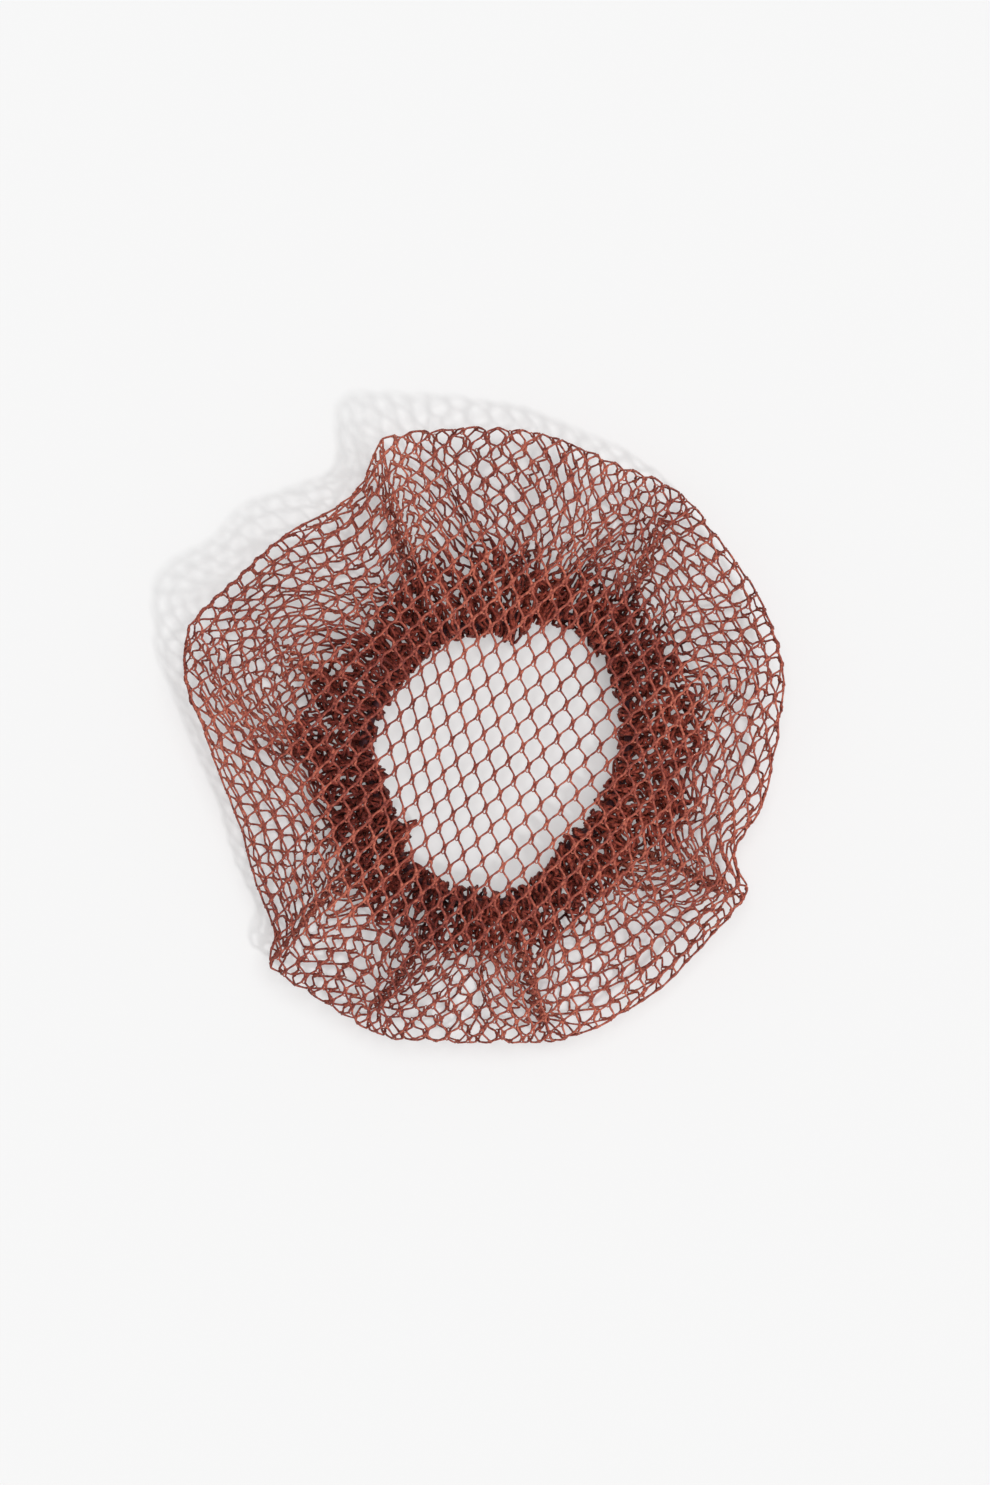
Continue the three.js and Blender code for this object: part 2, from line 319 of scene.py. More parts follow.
# One of the two threads of a double wall, as shares of the wall's length and millimetres to the side that it
# comes in on and over the other thread. swell is its thickness there as a share of the thread's own. The two
# cross in the wall's upper half and part round its eyelet. The hem's have fewer points.
FINE_WALL = table("along aside over swell", [
    (0.02, 0.36, 0.00, 1.20),
    (0.18, 0.31, 0.04, 1.25),
    (0.36, 0.24, 0.14, 1.25),
    (0.52, -0.24, 0.10, 1.25),
    (0.68, -0.31, 0.03, 1.20),
    (0.84, -0.35, 0.00, 1.15),
    (0.98, -0.37, 0.00, 1.20),
])
PLAIN_WALL = table("along aside over swell", [
    (0.05, 0.29, 0.00, 1.10),
    (0.40, 0.08, 0.14, 1.05),
    (0.72, -0.26, 0.03, 1.10),
    (0.97, -0.31, 0.00, 1.15),
])

# The lacing between them. It ends as a link that closes the eyelet at the wall's foot.
LACING = table("along aside over swell", [
    (0.04, 0.00, -0.08, 0.7),
    (0.20, 0.06, -0.10, 1.0),
    (0.38, -0.06, -0.12, 0.9),
    (0.56, 0.06, -0.10, 1.0),
    (0.70, -0.08, -0.06, 0.8),
    (0.88, -0.28, -0.08, 0.6),
    (1.06, -0.30, -0.08, 0.6),
    (1.16, 0.00, -0.04, 0.7),
    (1.08, 0.34, -0.04, 0.6),
])


def around(columns, name):
    """A smooth curve through one column of a table that closes on itself."""
    at = columns["at"]
    value = columns[name]
    span = (np.roll(at, -1) - at) % 360
    slope = (np.roll(value, -1) - np.roll(value, 1)) / (span + np.roll(span, 1))

    def curve(angle):
        place = np.asarray(angle, float) % 360
        first = (np.searchsorted(at, place, side="right") - 1) % len(at)
        last = (first + 1) % len(at)
        t = ((place - at[first]) % 360) / span[first]
        rest = 1 - t
        start = value[first] * rest * rest * (1 + 2 * t)
        end = value[last] * t * t * (1 + 2 * rest)
        return start + end + span[first] * t * rest * (slope[first] * rest - slope[last] * t)

    return curve


def smoothstep(value, low, high):
    """From 0 at low to 1 at high, level at both."""
    t = np.clip((value - low) / (high - low), 0, 1)
    return t * t * (3 - 2 * t)


def fade(distance, start, between):
    """From 0 to 1 between two distances past the start."""
    return smoothstep(distance, start + between[0], start + between[1])


def waves(angle, rows):
    """The sum of the waves that a table names."""
    return sum(high * np.sin(np.radians(count * angle + turn)) for count, high, turn in rows)


def turned(angle):
    """The same angle between -180 and 180."""
    return (angle + 540) % 360 - 180


def angle_of(points):
    return np.degrees(np.arctan2(points[..., 1], points[..., 0])) % 360


def radius_of(points):
    return np.hypot(points[..., 0], points[..., 1])


def unit(vectors):
    return vectors / np.maximum(np.linalg.norm(vectors, axis=-1, keepdims=True), TINY)


smooth_reach = around(FOLD, "reach")
fold_height = around(FOLD, "height")
mouth_edge = around(MOUTH, "edge")
gather_width = around(MOUTH, "gathers")


def fold_reach(angle):
    """How far out the fold lies, with its sharp corners."""
    reach = smooth_reach(angle)
    for at, sharp in zip(*CORNERS.values()):
        reach = reach + sharp * np.exp(-np.abs(turned(angle - at)) / CORNER_SPREAD)
    return reach


def gathers_reach(angle):
    """How far out the dense gathers run, in uneven lumps."""
    return mouth_edge(angle) + gather_width(angle) + waves(angle, LUMPS)


def opening_middle():
    """Where the middle of the opening lies in the frame, whose origin is under the middle of the fold."""
    at = np.arange(0, 360, 4)
    fold = smooth_reach(at)[:, None] * np.stack([np.cos(np.radians(at)), np.sin(np.radians(at))], 1)
    low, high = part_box("crown_net")
    packed = (np.array(low[:2]) + np.array(high[:2])) / 2
    return packed * 1000 - (fold.min(0) + fold.max(0)) / 2


OPENING_AT = opening_middle()


def cut_net():
    """The flat round net, as the double walls between its cells: their upper ends, their lower ends, and
    the wall to which each one's threads go on, to the left and to the right, or -1 at the rim."""
    steps = np.arange(-CELL_COUNT, CELL_COUNT + 1)
    place, row = np.meshgrid(steps, steps, indexing="ij")
    cell = CELL_AT + place[..., None] * ACROSS + row[..., None] * DOWN
    top = cell + (ACROSS - WALL_WAY) / 2
    foot = cell + (ACROSS + WALL_WAY) / 2
    inside = radius_of((top + foot) / 2 - NET_MIDDLE) < NET_RADIUS
    number = np.full(place.shape, -1)
    number[inside] = np.arange(inside.sum())
    left = np.roll(number, -1, axis=1)[inside]
    right = np.roll(number, (-1, -1), axis=(0, 1))[inside]
    return top[inside], foot[inside], left, right


def crown_top(radius, angle):
    """The crown's height."""
    fold_in = fold_reach(angle) - FOLD_ROUND
    top = CROWN_MIDDLE + (CROWN_SHOULDER - CROWN_MIDDLE) * smoothstep(radius, SHOULDER_START, SHOULDER_REACH)
    fall = np.clip((radius - SHOULDER_REACH) / (fold_in - SHOULDER_REACH), 0, 1)
    return top + (fold_height(angle) + FOLD_TOP - top) * fall ** 2


def net_way():
    """The way that the net takes in each direction: over the crown, round the fold, back under it, through
    the gathers, round the elastic and on under it. Radii and heights, and each section's last point."""
    height = fold_height(DIRECTIONS)
    ring = gathers_reach(DIRECTIONS)
    hem = mouth_edge(DIRECTIONS) + ELASTIC_IN
    fold_in = fold_reach(DIRECTIONS) - FOLD_ROUND
    crown_end = height + FOLD_TOP
    side_start = np.maximum(height - FOLD_LOW, SIDE_LOWEST)

    crown = np.linspace(0, fold_in, CROWN_POINTS)
    fold_turn = np.radians(np.linspace(90, -90, FOLD_POINTS)[1:, None])
    fold_up = (crown_end + side_start) / 2 + (crown_end - side_start) / 2 * np.sin(fold_turn)
    side = np.linspace(fold_in, ring, SIDE_POINTS)[1:]
    side_up = smoothstep((fold_in - side) / (fold_in - ring), 0, 1)
    gathers = np.linspace(ring, hem, GATHERS_POINTS)[1:]
    swell = np.sin(np.pi * (ring - gathers) / (ring - hem))
    hem_turn = np.radians(np.linspace(90, 270, HEM_POINTS)[1:, None])
    tail = np.linspace(0, HEM_TAIL, TAIL_POINTS)[1:, None]
    sections = [
        (crown, crown_top(crown, DIRECTIONS)),
        (fold_in + FOLD_ROUND * np.cos(fold_turn), fold_up),
        (side, side_start + (GATHER_HEIGHT - side_start) * side_up),
        (gathers, GATHER_HEIGHT + GATHER_SWELL * swell),
        (hem + HEM_ROUND * np.cos(hem_turn), ELASTIC_HEIGHT + HEM_ROUND * np.sin(hem_turn)),
        (hem + tail, ELASTIC_HEIGHT - HEM_ROUND),
    ]
    path = np.concatenate([np.stack(np.broadcast_arrays(out, up), -1) for out, up in sections])
    return path, np.cumsum([len(out) for out, _ in sections]) - 1


def heaped_net(path, fold_last, side_last):
    """How much of the slack net the bunches heap up, along the underside's way."""
    ring = gathers_reach(DIRECTIONS)
    way = np.clip((path[..., 0] - ring) / (fold_reach(DIRECTIONS) - ring), 0, 1)
    heaped = drawn(np.broadcast_to(DIRECTIONS, way.shape) * 1.0, way)[1]
    heaped[:fold_last] = 0
    heaped[side_last:] = 0
    return heaped


def net_paths():
    """The net's way in each direction, evenly spaced in flat net: radius, height and the net's outer side.
    Also the flat net used up to the crown's end, and up to the gathers, as shares of the whole."""
    path, (crown_last, fold_last, side_last, gathers_last, *_) = net_way()
    lengths = np.linalg.norm(np.diff(path, axis=0), axis=-1)
    along = np.concatenate([np.zeros((1, len(DIRECTIONS))), np.cumsum(lengths, axis=0)])
    crown_ends = along[(crown_last + fold_last) // 2]
    ring_starts = along[side_last]
    hem_starts = along[gathers_last]
    heaped = heaped_net(path, fold_last, side_last)
    edge = mouth_edge(DIRECTIONS)
    flat_reach = rim_distance(DIRECTIONS)

    paths = np.zeros((len(DIRECTIONS), PATH_STEPS, 4))
    crown_share = np.zeros(len(DIRECTIONS))
    ring_share = np.zeros(len(DIRECTIONS))
    shares = np.linspace(0, 1, PATH_STEPS)
    for direction in DIRECTIONS:
        at = along[:, direction]
        slack = flat_reach[direction] - at[-1]
        in_ring = fade(at, ring_starts[direction], GATHERS_BEGIN)
        in_side = fade(at, crown_ends[direction], SLACK_BEGINS) * (1 - in_ring)
        crowded = path[:, direction, 0] / edge[direction] - CROWDING
        loose = in_ring * crowded * (1 - HEM_SLACK * (at > hem_starts[direction]))
        loose += (SIDE_SLACK + BUNCH_SLACK * heaped[:, direction]) * in_side
        density = 1 + loose * slack / np.sum(loose * np.gradient(at))
        used = np.concatenate([[0], np.cumsum((density[1:] + density[:-1]) / 2 * np.diff(at))])
        used /= used[-1]
        points = np.stack([np.interp(shares, used, path[:, direction, axis]) for axis in (0, 1)], 1)
        slope = unit(np.gradient(points, axis=0))
        paths[direction] = np.concatenate([points, -slope[:, 1:], slope[:, :1]], 1)
        crown_share[direction] = np.interp(crown_ends[direction], at, used)
        ring_share[direction] = np.interp(ring_starts[direction], at, used)
    return paths, crown_share, ring_share


def rim_distance(angle):
    """How far the flat net's rim is from the middle of the opening."""
    direction = np.stack([np.cos(np.radians(angle)), np.sin(np.radians(angle))], -1)
    shift = direction @ NET_MIDDLE
    return shift + np.sqrt(shift ** 2 - NET_MIDDLE @ NET_MIDDLE + NET_RADIUS ** 2)


def on_path(paths, angle, share):
    """The rows of the paths at these angles and shares of the way."""
    first = np.floor(angle % 360).astype(int) % 360
    turn = (angle % 1)[:, None]
    place = np.clip(share, 0, 1) * (PATH_STEPS - 1)
    step = np.minimum(place.astype(int), PATH_STEPS - 2)
    part = (place - step)[:, None]

    def column(direction):
        return (1 - part) * paths[direction, step] + part * paths[direction, step + 1]

    return (1 - turn) * column(first) + turn * column((first + 1) % 360)


def crease_depth(angle, radius):
    """How much lower the crown lies in its creases."""
    depth = np.zeros_like(angle)
    out = smoothstep(radius, SHOULDER_REACH, CROWN_REACH)
    for base, tip, deep, spread in zip(*CREASES.values()):
        depth += deep * np.exp(-(turned(angle - base - (tip - base) * out) / spread) ** 2)
    return depth


def drawn(angle, way):
    """How far round the bunches draw the net, and how close together it lies in their inner half, from 0 to
    1. way is 0 at the gathers and 1 at the fold."""
    pull = np.zeros_like(angle)
    close = np.zeros_like(angle)
    for base, tip, draw, spread, reach in zip(*BUNCHES.values()):
        away = turned(angle - base - (tip - base) * way)
        draw = draw * fade(reach - way, 0, BUNCH_STOPS)
        pull += away * draw * np.exp(-(away / spread) ** 2)
        close = np.maximum(close, draw * np.exp(-(away / spread * 2) ** 2))
    return pull, close


def uneven(angle):
    """The angle, stretched here and drawn together there, so that pleats aren't evenly spaced."""
    return angle + waves(angle, UNEVEN_PLEATS)


def pleat_height(angle, radius, slackness, share):
    """Height of the underside's pleats. slackness is how much longer the net is there than its circle."""
    swing = uneven(angle)
    spare = np.sqrt(np.maximum(slackness ** 2 - 1, 0))
    total = np.zeros_like(angle)
    for count, part, highest, rise_from, rise_to, fall_from, fall_to in zip(*PLEATS.values()):
        most = np.clip(np.pi * radius / (2 * count) * spare * part, 0, highest)
        shown = smoothstep(share, rise_from, rise_to) * (1 - smoothstep(share, fall_from, fall_to))
        total -= most * shown * np.cos(np.radians(count * swing))
    return total


def draw_together(angle, rho, crown_end, ring_start, under):
    """The angles at which the net lies once bunches and ridges have drawn it together, in the underside more
    than in the crown, and how close together the bunches make it."""
    outwards = (rho - DRAW_START) / (crown_end - DRAW_START)
    back = (ring_start - rho) / (ring_start - crown_end)
    pull, close = drawn(angle, np.clip(np.where(rho < crown_end, outwards, back), 0, 1))
    strength = smoothstep(rho, DRAW_START, DRAW_FULL) * (CROWN_DRAW + (1 - CROWN_DRAW) * under)
    strength *= 1 - fade(rho, ring_start, BUNCHES_END)
    ridges = under * (1 - RIDGE_FALL * fade(rho, ring_start, RIDGES_END)) * np.degrees(RIDGE_DRAW / RIDGES)
    theta = angle - strength * pull + ridges * np.sin(np.radians(RIDGES * uneven(angle)))
    return theta, close * strength


def keep_off_floor(points):
    """Lifts the points that are lower than a thread's middle can be."""
    points[..., 2] = np.maximum(points[..., 2], FLOOR_GAP)
    return points


def stray_reach(angle, lot):
    """How far each point of the hem may stray into the opening."""
    stray = ANY_STRAY * lot
    for at, reach, spread in zip(*STRAYS.values()):
        stray += reach * np.exp(-(turned(angle - at) / spread) ** 2) * smoothstep(lot, *STRAY_LOTS)
    return stray


def hold_share(rho, crown_end, under, gathered, hem, inwards):
    """How much of the way back to its place each point takes in one step of the settling."""
    places = {
        "anywhere": 1,
        "opening": 1 - fade(rho, 0, FIRM_ENDS),
        "crown": 1 - fade(rho, 0, CROWN_FIRM_ENDS),
        "fold": np.exp(-((rho - crown_end) / FOLD_WIDTH) ** 2),
        "side": under,
        "gathers": gathered,
        "hem": hem,
        "strays": inwards,
    }
    return sum(HOLD[name] * place for name, place in places.items())


def lay_net(flat, random):
    """The flat net's points as they lie, and what the settling has to know of each of them."""
    paths, crown_share, ring_share = net_paths()
    angle = angle_of(flat)
    rho = radius_of(flat)
    whole = rim_distance(angle)
    crown_end = whole * np.interp(angle, np.arange(361), np.append(crown_share, crown_share[0]))
    ring_start = whole * np.interp(angle, np.arange(361), np.append(ring_share, ring_share[0]))
    under = fade(rho, crown_end, SIDE_BEGINS)
    theta, close = draw_together(angle, rho, crown_end, ring_start, under)

    rows = on_path(paths, theta % 360, rho / whole)
    radius = rows[:, 0]
    ring = gathers_reach(theta)
    share = (radius - ring) / (fold_reach(theta) - ring)
    hem = fade(whole - rho, 0, HEM_BEGINS)
    gathered = under * (1 - fade(share, 0, GATHERS_END))
    slackness = rho / np.maximum(radius, 1)
    wave = under * (1 - HEM_FLAT * hem) * pleat_height(angle, radius, slackness, share)
    crumple = np.sin(rho * 2 * np.pi / CRUMPLE_STEP + waves(angle, UNEVEN_CRUMPLES))
    wave += gathered * (1 - hem) * CRUMPLE * crumple
    dip = crease_depth(theta, rho) * fade(rho, 0, CREASES_BEGIN)
    dip *= 1 - fade(rho, fold_reach(theta), CREASES_END)

    radius = radius - rows[:, 2] * wave
    height = rows[:, 1] - rows[:, 3] * wave - dip
    laid = np.stack([radius * np.cos(np.radians(theta)), radius * np.sin(np.radians(theta)), height], 1)
    bow = BOW * ((flat - CELL_AT) @ BOW_WAY) ** 2 * (1 - fade(rho, 0, BOW_ENDS))
    laid[:, :2] += bow[:, None]
    laid += random.normal(0, 1, laid.shape) * (SIDE_JITTER * under + GATHERS_JITTER * gathered)[:, None]

    lot = random.random(len(flat))
    stray = stray_reach(angle, lot)
    inwards = fade(whole - rho, 0, STRAYS_BEGIN) * stray
    laid[:, :2] *= (1 - inwards / np.maximum(radius_of(laid), 1))[:, None]
    facts = {
        "rho": rho,
        "crown_end": crown_end,
        "gathered": gathered,
        "close": np.maximum(gathered, close),
        "stray": stray,
        "outside": KNOTS_OUT * lot ** 2 - KNOTS_IN,
        "hold": hold_share(rho, crown_end, under, gathered, hem, inwards)[:, None],
    }
    return keep_off_floor(laid), facts


def neighbours(count, edges):
    """The far ends of the three threads at each point, or -1 at the rim."""
    beside = np.full((count, 3), -1)
    for kind, (a, b) in enumerate(edges):
        beside[a, kind] = b
        beside[b, kind] = a
    return beside


def second_neighbours(beside):
    """The six points that are two threads away from each point, across its cells, or -1 past the rim."""
    second = []
    for kind in range(3):
        there = beside[:, kind]
        for other in range(3):
            if other != kind:
                second.append(np.where(there >= 0, beside[there, other], -1))
    return np.stack(second, 1)


def settle(laid, flat, facts, edges, beside):
    """Threads take back their own lengths, cells keep from closing up, and the net keeps off the floor."""
    points = laid.copy()
    lengths = [np.linalg.norm(flat[a] - flat[b], axis=1) for a, b in edges]
    second = second_neighbours(beside)
    real = second >= 0
    open_width = np.linalg.norm(flat[:, None] - flat[second], axis=2)
    open_width *= (OPEN_SHARE - CLOSE_SHARE * facts["close"])[:, None]
    below = facts["rho"] > facts["crown_end"] + BELOW_FROM

    for _ in range(RELAX_STEPS):
        for (a, b), length in zip(edges, lengths):
            apart = points[b] - points[a]
            now = np.linalg.norm(apart, axis=1) + TINY
            stretch = PULL * np.maximum(now - length, 0)
            stretch += SLACK_PULL * np.minimum(now - SLACK_SHARE * length, 0)
            move = apart * (stretch / now)[:, None]
            points[a] += move
            points[b] -= move
        apart = points[second] - points[:, None]
        now = np.linalg.norm(apart, axis=2) + TINY
        push = np.where(real & (now < open_width), (now - open_width) / now, 0) * PUSH
        points += (apart * push[..., None]).sum(1) / CELLS_AT_POINT
        points += (laid - points) * facts["hold"]
        radius = radius_of(points)
        angle = angle_of(points)
        outside = fold_reach(angle) + facts["outside"]
        points[:, :2] *= np.where(radius > outside, outside / radius, 1)[:, None]
        ceiling = np.minimum(crown_top(radius, angle) - CROWN_GAP, GATHERS_TOP)
        points[:, 2] = np.where(below, np.minimum(points[:, 2], ceiling), points[:, 2])
        points = keep_off_floor(points)
        inside = mouth_edge(angle) + EDGE_GAP - facts["stray"]
        points[:, :2] *= np.where(below & (radius < inside), inside / radius, 1)[:, None]
    return points


def outer_sides(points, beside):
    """The net's outward direction at each point."""
    whole = (beside >= 0).all(1)
    arms = points[beside] - points[:, None]
    side = sum(np.cross(arms[:, k], arms[:, (k + 1) % 3]) for k in range(3))
    side = np.where(whole[:, None], unit(side), 0)
    for _ in range(SIDE_ROUNDS):
        near = sum(np.where(beside[:, [k]] >= 0, side[beside[:, k]], 0) for k in range(3))
        side = unit(side + near / 2 + UPWARDS)
    return side


def hermite(start, end, leave, arrive, share):
    """Points on curves from each start to each end."""
    t = share[:, None]
    return (
        start[:, None] * ((1 + 2 * t) * (1 - t) ** 2)
        + leave[:, None] * (t * (1 - t) ** 2)
        + end[:, None] * (t * t * (3 - 2 * t))
        + arrive[:, None] * (t * t * (t - 1))
    )


def along_walls(net, course, hand):
    """The middles of a thread that runs down every wall as the course says, and the net's side there."""
    wall = net["foot"] - net["top"]
    middles = []
    sides = []
    for along, aside, over, _ in zip(*course.values()):
        out = unit(net["top_side"] * (1 - along) + net["foot_side"] * along)
        right = np.cross(out, unit(wall))
        middles.append(net["top"] + wall * along + hand * (right * aside + out * over))
        sides.append(out)
    return middles, sides


def thread_run(net, family, course, single_steps):
    """One family's threads: down each double wall, then on to the next one. Each wall's row of middles ends
    where the next one's starts."""
    onward = net[family]
    way = unit(net["foot"] - net["top"])
    rings, sides = along_walls(net, course, 1 if family == "left" else -1)
    leaves = rings.pop()
    sides.pop()
    ends = onward < 0
    end = np.where(ends[:, None], leaves + way * TAIL, rings[0][onward])
    end_side = np.where(ends[:, None], net["foot_side"], net["top_side"][onward])
    end_way = np.where(ends[:, None], way, way[onward])
    chord = end - leaves
    span = np.linalg.norm(chord, axis=1, keepdims=True)
    leave = LEAVE[0] * chord + LEAVE[1] * span * way
    arrive = ARRIVE[0] * chord + ARRIVE[1] * span * end_way
    shares = np.arange(single_steps) / single_steps
    singles = hermite(leaves, end, leave, arrive, shares)
    blend = shares[:, None]
    single_sides = unit(net["foot_side"][:, None] * (1 - blend) + end_side[:, None] * blend)
    middles = np.concatenate([np.stack(rings, 1), singles, end[:, None]], 1)
    sides = np.concatenate([np.stack(sides, 1), single_sides, end_side[:, None]], 1)
    single_swell = np.linspace(course["swell"][-1], 1, single_steps)
    swell = np.concatenate([course["swell"][:-1], single_swell, course["swell"][:1]])
    return keep_off_floor(middles), sides, onward, swell


def lacing_run(net):
    """The short lacing inside every double wall."""
    middles, sides = along_walls(net, LACING, 1)
    onward = np.full(len(net["top"]), -1)
    return keep_off_floor(np.stack(middles, 1)), np.stack(sides, 1), onward, LACING["swell"]


def came_from(onward):
    """The wall that each wall's thread comes from, or -1 where it starts."""
    came = np.full(len(onward), -1)
    came[onward[onward >= 0]] = np.flatnonzero(onward >= 0)
    return came


def tube_skin(run, thick, corners, random):
    """The corners of a rim round each of the threads' middles."""
    middles, sides, onward, swell = run
    came = came_from(onward)
    ends = onward < 0
    before = np.where((came >= 0)[:, None], middles[came, -2], 2 * middles[:, 0] - middles[:, 1])
    after = np.where(ends[:, None], 2 * middles[:, -1] - middles[:, -2], middles[onward, 1])
    spread = np.concatenate([before[:, None], middles, after[:, None]], 1)
    ways = unit(spread[:, 2:] - spread[:, :-2])
    across = unit(np.cross(ways, sides))
    up = np.cross(across, ways)
    uneven_share = 1 + UNEVEN_THREAD * random.standard_normal((*middles.shape[:2], 1, 1))
    half = thick[:, None, None, None] / 2 * uneven_share * swell[:, None, None]
    half[~ends, -1] = half[onward[~ends], 0]
    turn = np.radians(np.arange(corners) * 360 / corners)[:, None]
    rim = np.cos(turn) * up[:, :, None] + np.sin(turn) * across[:, :, None]
    return middles[:, :, None] + half * rim


def tube_faces(onward, chosen, rings, corners):
    """The quads round the chosen walls' threads, joined wherever one runs on into the next, and the caps that
    close them where they start and end."""
    came = came_from(onward)
    walls = np.flatnonzero(chosen)
    joins = (onward[walls] >= 0) & chosen[onward[walls]]
    ring = walls[:, None] * rings + np.arange(rings)
    ring[joins, -1] = onward[walls[joins]] * rings
    step = np.arange(corners)
    side = (step + 1) % corners
    first = ring[:, :-1, None] * corners
    last = ring[:, 1:, None] * corners
    quads = np.stack([first + step, first + side, last + side, last + step], -1).reshape(-1, 4)
    starts = walls[(came[walls] < 0) | ~chosen[came[walls]]]
    caps = np.concatenate([
        starts[:, None] * rings * corners + step[::-1],
        (walls[~joins][:, None] * rings + rings - 1) * corners + step,
    ])
    return quads, caps


def quad_uv(*corners):
    """The UVs of quads whose corners have these places, each as two arrays."""
    return np.stack([np.stack(corner, -1) for corner in corners], -2).reshape(-1, 2)


def tube_uv(middles, corners):
    """How far along the thread each quad's corners lie, in millimetres, and how far round, from 0 to 1."""
    travelled = np.cumsum(np.linalg.norm(np.diff(middles, axis=1), axis=2), axis=1)
    travelled = np.concatenate([np.zeros((len(middles), 1)), travelled], 1)
    low = np.broadcast_to(travelled[:, :-1, None], travelled[:, :-1].shape + (corners,))
    high = np.broadcast_to(travelled[:, 1:, None], low.shape)
    near = np.broadcast_to(np.arange(corners) / corners, low.shape)
    far = near + 1 / corners
    return quad_uv((low, near), (low, far), (high, far), (high, near))


def tube_mesh(name, run, thick, chosen, corners, random):
    """The chosen walls' threads as tubes."""
    middles, _, onward, _ = run
    skin = tube_skin(run, thick, corners, random)
    quads, caps = tube_faces(onward, chosen, middles.shape[1], corners)
    uv = np.concatenate([tube_uv(middles[chosen], corners), np.zeros((caps.size, 2))])
    used, kept = np.unique(np.concatenate([quads.ravel(), caps.ravel()]), return_inverse=True)
    faces = [*kept[:quads.size].reshape(-1, 4), *kept[quads.size:].reshape(-1, corners)]
    return mesh_piece(name, skin.reshape(-1, 3)[used], faces, uv)


def mesh_piece(name, points, faces, uv):
    """A smooth piece in metres in the frame, from points in millimetres about the opening's middle."""
    mesh = bpy.data.meshes.new(name)
    placed = points + np.array([*OPENING_AT, 0])
    mesh.from_pydata(placed * 0.001, [], faces)
    layer = mesh.uv_layers.new(name="thread")
    layer.uv.foreach_set("vector", uv.astype(np.float32).ravel())
    mesh.polygons.foreach_set("use_smooth", np.ones(len(mesh.polygons), bool))
    mesh.validate()
    mesh.update()
    piece = bpy.data.objects.new(name, mesh)
    bpy.context.scene.collection.objects.link(piece)
    return piece


def elastic_piece():
    """The covered elastic: a ring that follows the opening's edge, with the ribs of its braided cover."""
    angle = np.arange(ELASTIC_STEPS) * 360 / ELASTIC_STEPS
    turn = np.arange(ELASTIC_CORNERS) * 360 / ELASTIC_CORNERS
    one_way = RIB_HEIGHTS[0] * np.cos(np.radians(RIBS_ROUND * turn[None] + RIBS_ALONG * angle[:, None]))
    other_way = RIB_HEIGHTS[1] * np.cos(np.radians(RIBS_ROUND * turn[None] - RIBS_ALONG * angle[:, None]))
    thick = ELASTIC / 2 * (1 + one_way) * (1 - other_way)
    radius = mouth_edge(angle)[:, None] + ELASTIC_IN + thick * np.cos(np.radians(turn))
    height = ELASTIC_HEIGHT + thick * np.sin(np.radians(turn))
    direction = np.radians(angle)[:, None]
    points = np.stack([radius * np.cos(direction), radius * np.sin(direction), height], -1).reshape(-1, 3)

    ring = np.arange(ELASTIC_STEPS)[:, None]
    side = np.arange(ELASTIC_CORNERS)[None]
    here = ring * ELASTIC_CORNERS
    there = (ring + 1) % ELASTIC_STEPS * ELASTIC_CORNERS
    beyond = (side + 1) % ELASTIC_CORNERS
    faces = np.stack([here + side, there + side, there + beyond, here + beyond], -1).reshape(-1, 4)
    low = np.broadcast_to(ring * ELASTIC_STEP, (ELASTIC_STEPS, ELASTIC_CORNERS))
    high = low + ELASTIC_STEP
    near = np.broadcast_to(side / ELASTIC_CORNERS, low.shape)
    far = near + 1 / ELASTIC_CORNERS
    uv = quad_uv((low, near), (high, near), (high, far), (low, far))
    return mesh_piece("elastic", points, list(faces), uv)


class Nodes:
    """A material's nodes, made and linked by short calls. An input is named, or i0, i1 and so on."""

    def __init__(self, name):
        self.material = bpy.data.materials.new(name)
        self.material.use_nodes = True
        self.tree = self.material.node_tree
        self.tree.nodes.clear()

    def add(self, kind, settings=None, **inputs):
        node = self.tree.nodes.new(kind)
        for key, value in (settings or {}).items():
            setattr(node, key, value)
        for key, value in inputs.items():
            numbered = key[0] == "i" and key[1:].isdigit()
            socket = node.inputs[int(key[1:]) if numbered else key.replace("_", " ")]
            if isinstance(value, bpy.types.NodeSocket):
                self.tree.links.new(value, socket)
            else:
                socket.default_value = value
        return node

    def ramp(self, factor, positions, colours):
        node = self.add("ShaderNodeValToRGB", i0=factor)
        elements = node.color_ramp.elements
        while len(elements) < len(positions):
            elements.new(0.5)
        for element, position, colour in zip(elements, positions, colours):
            element.position = position
            element.color = (*colour, 1)
        return node.outputs["Color"]

    def share(self, value, part, rest):
        """A part of the value, added to the rest."""
        node = self.add("ShaderNodeMath", {"operation": "MULTIPLY_ADD"}, i0=value, i1=part, i2=rest)
        return node.outputs[0]


# A yarn's tone is made up of shares of three patterns. TONES are where its colours lie on that scale.
FIBRE_SHARE = 0.75
PATCH_SHARE = 0.35
PLY_SHARE = 0.18
TONES = (0.38, 0.62, 0.86)

# Each yarn's darkest, middle and lightest colour, its sheen, and how much painted shade darkens it at its
# lowest.
YARNS = [
    ("net_thread", (0.045, 0.006, 0.005), (0.25, 0.040, 0.028), (0.63, 0.185, 0.112), 0.10, 0.0),
    # The hem's yarn is the net's yarn painted darker all over: painted shade for the gathers, where the
    # threads lie thick and shadowed.
    ("hem_thread_painted_shade", (0.025, 0.003, 0.003), (0.20, 0.025, 0.017), (0.50, 0.105, 0.060), 0.05, 0.12),
    ("lacing", (0.16, 0.032, 0.024), (0.38, 0.10, 0.064), (0.60, 0.23, 0.15), 0.15, 0.0),
    ("elastic", (0.03, 0.006, 0.010), (0.06, 0.012, 0.02), (0.10, 0.03, 0.035), 0.2, 0.0),
]


